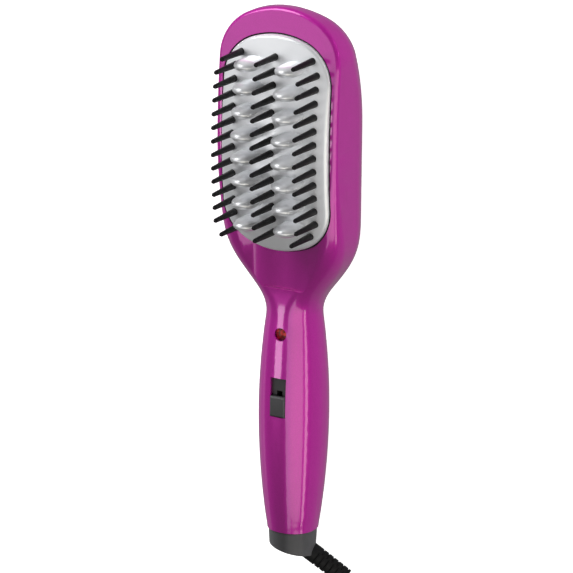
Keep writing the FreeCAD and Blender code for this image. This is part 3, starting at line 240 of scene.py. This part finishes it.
def plastic_paint(name, low, high, roughness, grain_size, grain_depth):
    """A plastic with a fine grain, whose size and depth are in millimetres."""
    paint = Paint(name)
    grain = paint.noise(grain_size * MM, detail=3.0)
    cloud = paint.noise(CLOUD_GRAINS * grain_size * MM)
    paint.look(Base_Color=paint.shades(cloud, low, high), Specular_IOR_Level=0.3)
    paint.look(Roughness=roughness + grain * GRAIN_ROUGHENING)
    paint.bump(grain, grain_depth * MM)
    return paint


def metal_paint(name, low, high, roughness):
    """A bare metal with fine scratches."""
    paint = Paint(name)
    scratch = paint.noise(SCRATCH_SIZE, detail=4.0)
    paint.look(Base_Color=paint.shades(scratch, low, high), Metallic=1.0)
    paint.look(Roughness=roughness + scratch * SCRATCH_ROUGHENING)
    paint.bump(scratch, SCRATCH_DEPTH)
    return paint


# Darkest and lightest level, roughness, size and depth of the grain
PLASTICS = {
    "black_plastic": ((11, 11, 12), (18, 18, 20), 0.42, 0.25, 0.006),
    "dark_plastic": ((52, 52, 55), (66, 66, 70), 0.45, 0.3, 0.008),
    "satin_black": ((62, 62, 64), (73, 73, 75), 0.28, 0.25, 0.004),
    "black_rubber": ((12, 12, 13), (22, 22, 23), 0.55, 0.2, 0.01),
    "board_laminate": ((34, 92, 48), (44, 112, 58), 0.4, 0.4, 0.01),
}
# Darkest and lightest level, roughness
METALS = {
    "bare_steel": ((176, 177, 180), (206, 207, 210), 0.3),
    "heater_metal": ((184, 184, 186), (214, 214, 216), 0.42),
    "blade_brass": ((196, 160, 90), (222, 188, 118), 0.28),
}
PAINTS = {
    "pearl_shell": pearl_paint(),
    "bare_plate": plate_paint(),
    "red_lens": lens_paint(),
    "lamp_glass": glass_paint(),
}
PAINTS.update({name: plastic_paint(name, *look) for name, look in PLASTICS.items()})
PAINTS.update({name: metal_paint(name, *look) for name, look in METALS.items()})
SATIN_NODES = ("switch_tray", "switch_knob", "swivel_cap")

for part in frame["record"]["subparts"]:
    mesh = nodes[part["node"]].data
    look = "satin_black" if part["node"] in SATIN_NODES else part["material_slot"]
    mesh.materials.clear()
    mesh.materials.append(PAINTS[look].material)


# Pieces modelled here, with angles between faces in degrees
MERGE_DISTANCE = 0.002 * MM
SHELL_ANGLE = 30
PLATE_ANGLE = 40
FLAT_ANGLE = 0.5
ROUNDING_ANGLE = 40
ROUNDED_ANGLE = 35
ROUNDING_STEPS = 3
KNOB_ROUNDING = 0.35 * MM
TIE_ROUNDING = 0.3 * MM


def finish_piece(piece, slot, body, *replaced):
    """Puts a piece in the place of CAD nodes, with the material of the first of them."""
    piece.data.materials.clear()
    piece.data.materials.append(nodes[replaced[0]].data.materials[0])
    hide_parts(*replaced)
    if body:
        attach(piece, body)


def choose(piece):
    """Makes a piece the only chosen one and the active one."""
    bpy.ops.object.select_all(action="DESELECT")
    piece.select_set(True)
    bpy.context.view_layer.objects.active = piece


def smooth_copy(node, name, angle=SHELL_ANGLE):
    """A merged copy of a CAD node, shaded smooth where faces meet at less than the angle."""
    piece = bpy.data.objects.new(name, nodes[node].data.copy())
    bpy.context.scene.collection.objects.link(piece)
    choose(piece)
    bpy.ops.mesh.customdata_custom_splitnormals_clear()
    bpy.ops.object.mode_set(mode="EDIT")
    bpy.ops.mesh.select_all(action="SELECT")
    bpy.ops.mesh.remove_doubles(threshold=MERGE_DISTANCE)
    bpy.ops.object.mode_set(mode="OBJECT")
    bpy.ops.object.shade_smooth_by_angle(angle=math.radians(angle))
    return piece


def rounded_copy(node, name, width):
    """A merged copy of a CAD node with its sharp edges rounded."""
    piece = smooth_copy(node, name)
    bpy.ops.object.mode_set(mode="EDIT")
    bpy.ops.mesh.dissolve_limited(angle_limit=math.radians(FLAT_ANGLE))
    bpy.ops.object.mode_set(mode="OBJECT")
    rounding = piece.modifiers.new("rounding", "BEVEL")
    rounding.width = width
    rounding.segments = ROUNDING_STEPS
    rounding.limit_method = "ANGLE"
    rounding.angle_limit = math.radians(ROUNDING_ANGLE)
    bpy.ops.object.modifier_apply(modifier="rounding")
    bpy.ops.object.shade_smooth_by_angle(angle=math.radians(ROUNDED_ANGLE))
    return piece


front_shell = smooth_copy("front_housing", "front_shell")
finish_piece(front_shell, "pearl_shell", "brush", "front_housing")
rear_shell = smooth_copy("rear_housing", "rear_shell")
finish_piece(rear_shell, "pearl_shell", "brush", "rear_housing")
domed_plate = smooth_copy("heating_plate", "domed_plate", PLATE_ANGLE)
finish_piece(domed_plate, "bare_plate", "brush", "heating_plate")
slide_knob = rounded_copy("switch_knob", "slide_knob", KNOB_ROUNDING)
finish_piece(slide_knob, "black_plastic", "switch", "switch_knob")
tie_strap = rounded_copy("coil_tie", "tie_strap", TIE_ROUNDING)
finish_piece(tie_strap, "black_rubber", "brush", "coil_tie")


# Lens of the pilot lamp, with the steps of its cut dome inwards and upwards in millimetres
LENS_RADIUS = 3.2 * MM
LENS_BARREL = 2.9 * MM
LENS_SIDES = 24
LENS_STEPS = ((0.7, 0.32), (0.9, 0.26), (0.8, 0.12))
FACES_UP = 0.9


def faceted_lens():
    """A round barrel with a cut dome of flat facets."""
    low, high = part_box("lamp_lens")
    middle = (low + high) / 2
    place = (middle.x, middle.y, low.z + LENS_BARREL / 2)
    bpy.ops.mesh.primitive_cylinder_add(vertices=LENS_SIDES, radius=LENS_RADIUS, depth=LENS_BARREL,
                                        end_fill_type="NGON", location=place)
    piece = bpy.context.object
    piece.name = "cut_lens"
    bpy.ops.object.transform_apply(location=True, rotation=True, scale=True)
    bpy.ops.object.mode_set(mode="EDIT")
    bpy.ops.mesh.select_mode(type="FACE")
    bpy.ops.mesh.select_all(action="DESELECT")
    bpy.ops.object.mode_set(mode="OBJECT")
    for face in piece.data.polygons:
        face.select = face.normal.z > FACES_UP
    bpy.ops.object.mode_set(mode="EDIT")
    for inset, rise in LENS_STEPS:
        bpy.ops.mesh.inset(thickness=inset * MM, depth=0)
        bpy.ops.transform.translate(value=(0, 0, rise * MM))
    bpy.ops.mesh.select_all(action="SELECT")
    bpy.ops.mesh.normals_make_consistent(inside=False)
    bpy.ops.object.mode_set(mode="OBJECT")
    bpy.ops.object.shade_flat()
    return piece


finish_piece(faceted_lens(), "red_lens", "brush", "lamp_lens")


# Cord, with its routes and the sizes of its coil in millimetres
CORD_RADIUS = 3.0 * MM
CORD_ROUNDNESS = 6
ROUTE_ORDER = 3
ROUTE_STEPS = 8
COIL_CENTRE = Vector((13.0, -294.0, 0))
COIL_STEP = 6.6
COIL_TURNS = 3.28
COIL_CLIMB = 0.5
COIL_MEAN = 37.5
COIL_LARGEST = COIL_MEAN + COIL_STEP * COIL_TURNS / 2
COIL_DIP = 1.4
COIL_FLOOR = 3.775
COIL_START = math.radians(17)
POINTS_PER_TURN = 24
LEAD_ROUTE = [(26.59, -232.17, 8.86), (37.83, -240.57, 5.21), (53.65, -260.14, 3.775),
              (57.58, -274.10, 3.775)]
TAIL_ROUTE = [(59.6, -320.02, 9.6), (57.0, -338.02, 8.5), (47.5, -352.02, 7.6), (33.5, -358.82, 7.5),
              (16.5, -358.82, 7.5)]


def coil_point(turns):
    """Place on the coil's line: inwards on the lower layer, up, then outwards on the upper one."""
    climbed = min(max((turns - COIL_TURNS) / COIL_CLIMB, 0.0), 1.0)
    inwards = min(turns, COIL_TURNS)
    outwards = max(turns - COIL_TURNS - COIL_CLIMB, 0.0)
    dip = COIL_DIP * math.sin(math.pi * climbed) ** 2
    radius = COIL_LARGEST - COIL_STEP * (inwards - outwards) - dip
    height = COIL_FLOOR + COIL_STEP * (1 - math.cos(math.pi * climbed)) / 2
    angle = COIL_START - 2 * math.pi * turns
    return COIL_CENTRE + Vector((radius * math.cos(angle), radius * math.sin(angle), height))


def route_curve(name, route):
    """A smooth curve along a route's control points."""
    curve = bpy.data.curves.new(name, "CURVE")
    curve.dimensions = "3D"
    spline = curve.splines.new("NURBS")
    spline.points.add(len(route) - 1)
    for point, place in zip(spline.points, route):
        point.co = (*(Vector(place) * MM), 1)
    spline.order_u = ROUTE_ORDER
    spline.use_endpoint_u = True
    spline.resolution_u = ROUTE_STEPS
    piece = bpy.data.objects.new(name, curve)
    bpy.context.scene.collection.objects.link(piece)
    return piece


def thicken(piece):
    """Gives a curve the cord's thickness and closed ends."""
    piece.data.bevel_depth = CORD_RADIUS
    piece.data.bevel_resolution = CORD_ROUNDNESS
    piece.data.use_fill_caps = True


whole = 2 * COIL_TURNS + COIL_CLIMB
steps = round(whole * POINTS_PER_TURN)
coil_route = [LEAD_ROUTE[-1]] + [coil_point(whole * i / steps) for i in range(steps + 1)]
cord = route_curve("mains_cord", coil_route + TAIL_ROUTE)
thicken(cord)
finish_piece(cord, "black_rubber", "brush", "cord_coil", "cord_tail")

lead = route_curve("cord_lead_stretch", LEAD_ROUTE)
line = bpy.data.meshes.new_from_object(lead)
thicken(lead)
choose(lead)
bpy.ops.object.convert(target="MESH")
lead = bpy.context.object
bpy.ops.object.shade_smooth()
finish_piece(lead, "black_rubber", None, "cord_lead")
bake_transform(lead)


# Camera, with its lens and sensor in millimetres and its place in metres
CAMERA_LENS = 243.15
CAMERA_SENSOR = 36
CAMERA_RIGHT = Vector((0.87322, 0.00850, -0.48725))
CAMERA_UP = Vector((-0.15151, 0.95503, -0.25486))
CAMERA_BACK = Vector((0.46317, 0.29637, 0.83524))
CAMERA_PLACE = Vector((0.89227, 0.49487, 1.63547))


def set_axes(thing, right, up, back, place):
    """Puts a camera or light at a place, looking against its back axis."""
    matrix = Matrix((right, up, back)).transposed().to_4x4()
    matrix.translation = place
    thing.matrix_world = matrix


def make_camera():
    """The camera that sees the brush as the photograph does."""
    optics = bpy.data.cameras.new("camera")
    optics.lens = CAMERA_LENS
    optics.sensor_width = CAMERA_SENSOR
    camera = bpy.data.objects.new("camera", optics)
    bpy.context.scene.collection.objects.link(camera)
    set_axes(camera, CAMERA_RIGHT, CAMERA_UP, CAMERA_BACK, CAMERA_PLACE)
    bpy.context.scene.camera = camera


# Lights, at a distance in metres from the brush's line
LIGHT_REACH = 2.5
NEUTRAL = (1.0, 1.0, 1.0)
WARM = (1.0, 0.95, 0.84)


def softbox(name, first, last, low, high, level, colour=NEUTRAL, mirrored=True):
    """A flat light panel along the brush.

    It reaches from the first to the last angle, in degrees from straight up towards +X, and from
    low to high in Y, in metres. The level is its brightness in a mirror, where 1 is white, before
    its colour. A panel that isn't mirrored lights the brush but shows in no highlight.
    """
    angle = math.radians((first + last) / 2)
    width = 2 * LIGHT_REACH * math.tan(math.radians(last - first) / 2)
    length = high - low
    light = bpy.data.lights.new(name, "AREA")
    light.shape = "RECTANGLE"
    light.size = width
    light.size_y = length
    light.energy = level * math.pi * width * length
    light.color = colour
    panel = bpy.data.objects.new(name, light)
    bpy.context.scene.collection.objects.link(panel)
    outwards = Vector((math.sin(angle), 0, math.cos(angle)))
    along = Vector((0, 1, 0))
    place = outwards * LIGHT_REACH + along * (low + high) / 2
    set_axes(panel, along.cross(outwards), along, outwards, place)
    panel.visible_glossy = mirrored


# Floor and surroundings, with brightness where 1 is white
FLOOR_SIZE = 12
FLOOR_DROP = 0.5 * MM
FLOOR_GREY = (0.85, 0.85, 0.85, 1)
FLOOR_ROUGHNESS = 0.9
FLOOR_GLOW = 0.85
FLOOR_MIRRORED = 0.22
WORLD_LEVEL = 0.12


def make_floor():
    """A white floor that takes shadows, and that is dim where the brush mirrors it."""
    bpy.ops.mesh.primitive_plane_add(size=FLOOR_SIZE, location=(0, 0, -FLOOR_DROP))
    floor = bpy.context.object
    floor.name = "floor"
    paint = Paint("floor")
    paint.look(Base_Color=FLOOR_GREY, Roughness=FLOOR_ROUGHNESS)
    path = paint.node("LightPath")
    seen = paint.signal(path, "Is Camera Ray")
    in_mirror = paint.signal(path, "Is Glossy Ray")
    glow = paint.node("Emission", None, {"Color": WHITE, "Strength": seen * FLOOR_GLOW})
    dim = paint.node("Emission", None, {"Color": WHITE, "Strength": FLOOR_MIRRORED})
    lit = paint.joined("AddShader", paint.shader, glow)
    surface = paint.joined("MixShader", lit, dim, {"Fac": in_mirror})
    output = paint.tree.nodes["Material Output"]
    paint.tree.links.new(surface.outputs[0], output.inputs["Surface"])
    floor.data.materials.append(paint.material)


def make_world():
    """A faint even light from all sides."""
    world = bpy.data.worlds.new("world")
    bpy.context.scene.world = world
    world.use_nodes = True
    background = world.node_tree.nodes["Background"]
    background.inputs["Color"].default_value = WHITE
    background.inputs["Strength"].default_value = WORLD_LEVEL


make_camera()
make_floor()
softbox("key_soft", -3, 14, -2.1, -0.1, 0.95)
softbox("key", 14, 58, -2.1, -0.1, 1.08, WARM)
softbox("key_edge", 65, 74, -2.1, -0.1, 2.0, WARM)
softbox("stripe", -37, -22, -0.84, -0.3, 2.6)
softbox("overhead", -60, 0, -0.25, 0.8, 0.66)
softbox("left_fill", -110, -80, -1.7, 0.5, 0.25)
softbox("left_side", -100, -76, 0.6, 2.8, 42.0, mirrored=False)
softbox("tip_light", -60, -25, 1.2, 4.0, 3.0)
softbox("side_fill", 80, 100, 0.6, 2.8, 38.0, mirrored=False)
make_world()
bpy.context.scene.view_settings.view_transform = "Standard"

bpy.context.view_layer.update()
